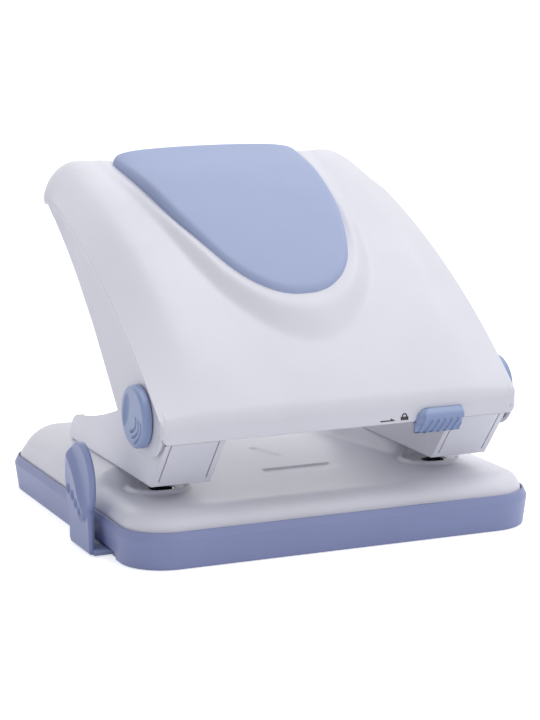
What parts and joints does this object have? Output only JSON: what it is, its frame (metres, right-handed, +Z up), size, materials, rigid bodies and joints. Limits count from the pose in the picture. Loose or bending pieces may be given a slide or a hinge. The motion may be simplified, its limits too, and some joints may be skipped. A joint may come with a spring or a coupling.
{
  "type": "two-hole desk punch",
  "caption": "Hand-operated two-hole paper punch: a moulded handle over twin spring-loaded punches on a sheet-metal base, with a chip tray, a sliding paper guide and a handle lock.",
  "frame": {"origin": "on the surface that the punch stands on, under the middle of the chip tray", "axes": "+X across the punch to the side away from the paper guide, +Y from the paper slot towards the rear, where the handle is pressed, +Z up"},
  "size_m": [0.1225, 0.1142, 0.0977],
  "materials": {
    "white_body": "white-silver moulded ABS with a soft satin sheen",
    "painted_sheet": "pressed steel sheet with white-silver satin enamel",
    "blue_tray": "greyish-blue moulded polypropylene, fine satin",
    "blue_trim": "light blue moulded ABS, satin",
    "blue_pad": "light blue soft-touch elastomer, matt",
    "plated_steel": "bright zinc-plated steel",
    "hard_steel": "ground and hardened tool steel",
    "spring_steel": "square drawn spring wire",
    "brass": "sintered bronze-coloured bush",
    "rubber": "dark grey moulded rubber"
  },
  "bodies": {
    "base": {"base_plate": "painted_sheet", "left_die": "hard_steel", "right_die": "hard_steel", "left_bracket": "painted_sheet", "right_bracket": "painted_sheet", "left_pin_guide": "brass", "right_pin_guide": "brass", "bracket_rivets": "plated_steel", "pivot_axle": "plated_steel", "axle_clips": "plated_steel", "lock_keeper": "plated_steel"},
    "tray": {"chip_tray": "blue_tray", "rubber_feet": "rubber"},
    "guide": {"paper_guide": "blue_tray"},
    "handle": {"handle_cover": "white_body", "grip_pad": "blue_pad", "lever_frame": "plated_steel", "left_presser": "hard_steel", "right_presser": "hard_steel", "pivot_bushes": "brass", "left_pivot_cap": "blue_trim", "right_pivot_cap": "blue_trim", "cover_screws": "plated_steel"},
    "lock": {"lock_button": "blue_trim", "lock_latch": "plated_steel"},
    "left_punch": {"left_punch_pin": "hard_steel", "left_pin_washer": "plated_steel", "left_pin_spring": "spring_steel"},
    "right_punch": {"right_punch_pin": "hard_steel", "right_pin_washer": "plated_steel", "right_pin_spring": "spring_steel"}
  },
  "joints": [
    {"name": "handle_press", "type": "hinge", "parent": "base", "child": "handle", "pos_m": [0, -0.0415, 0.0372], "axis": [-1, 0, 0], "range_deg": [0, 26.5], "stiffness_Nm_per_rad": 0.8, "springref_deg": -22.92},
    {"name": "left_punch_stroke", "type": "slide", "parent": "base", "child": "left_punch", "axis": [0, 0, -1], "range_m": [0, 0.007], "deforming": ["left_pin_spring"]},
    {"name": "right_punch_stroke", "type": "slide", "parent": "base", "child": "right_punch", "axis": [0, 0, -1], "range_m": [0, 0.007], "deforming": ["right_pin_spring"]},
    {"name": "lock_slide", "type": "slide", "parent": "handle", "child": "lock", "axis": [1, 0, 0], "range_m": [0, 0.008]},
    {"name": "guide_slide", "type": "slide", "parent": "tray", "child": "guide", "axis": [-1, 0, 0], "range_m": [0, 0.0876]},
    {"name": "tray_release", "type": "slide", "parent": "tray", "child": "base", "axis": [0, 0, 1], "range_m": [0, 0.015]}
  ],
  "couplings": [
    {"joint": "left_punch_stroke", "follows": "handle_press", "m_per_rad": 0.0149},
    {"joint": "right_punch_stroke", "follows": "handle_press", "m_per_rad": 0.0149}
  ]
}
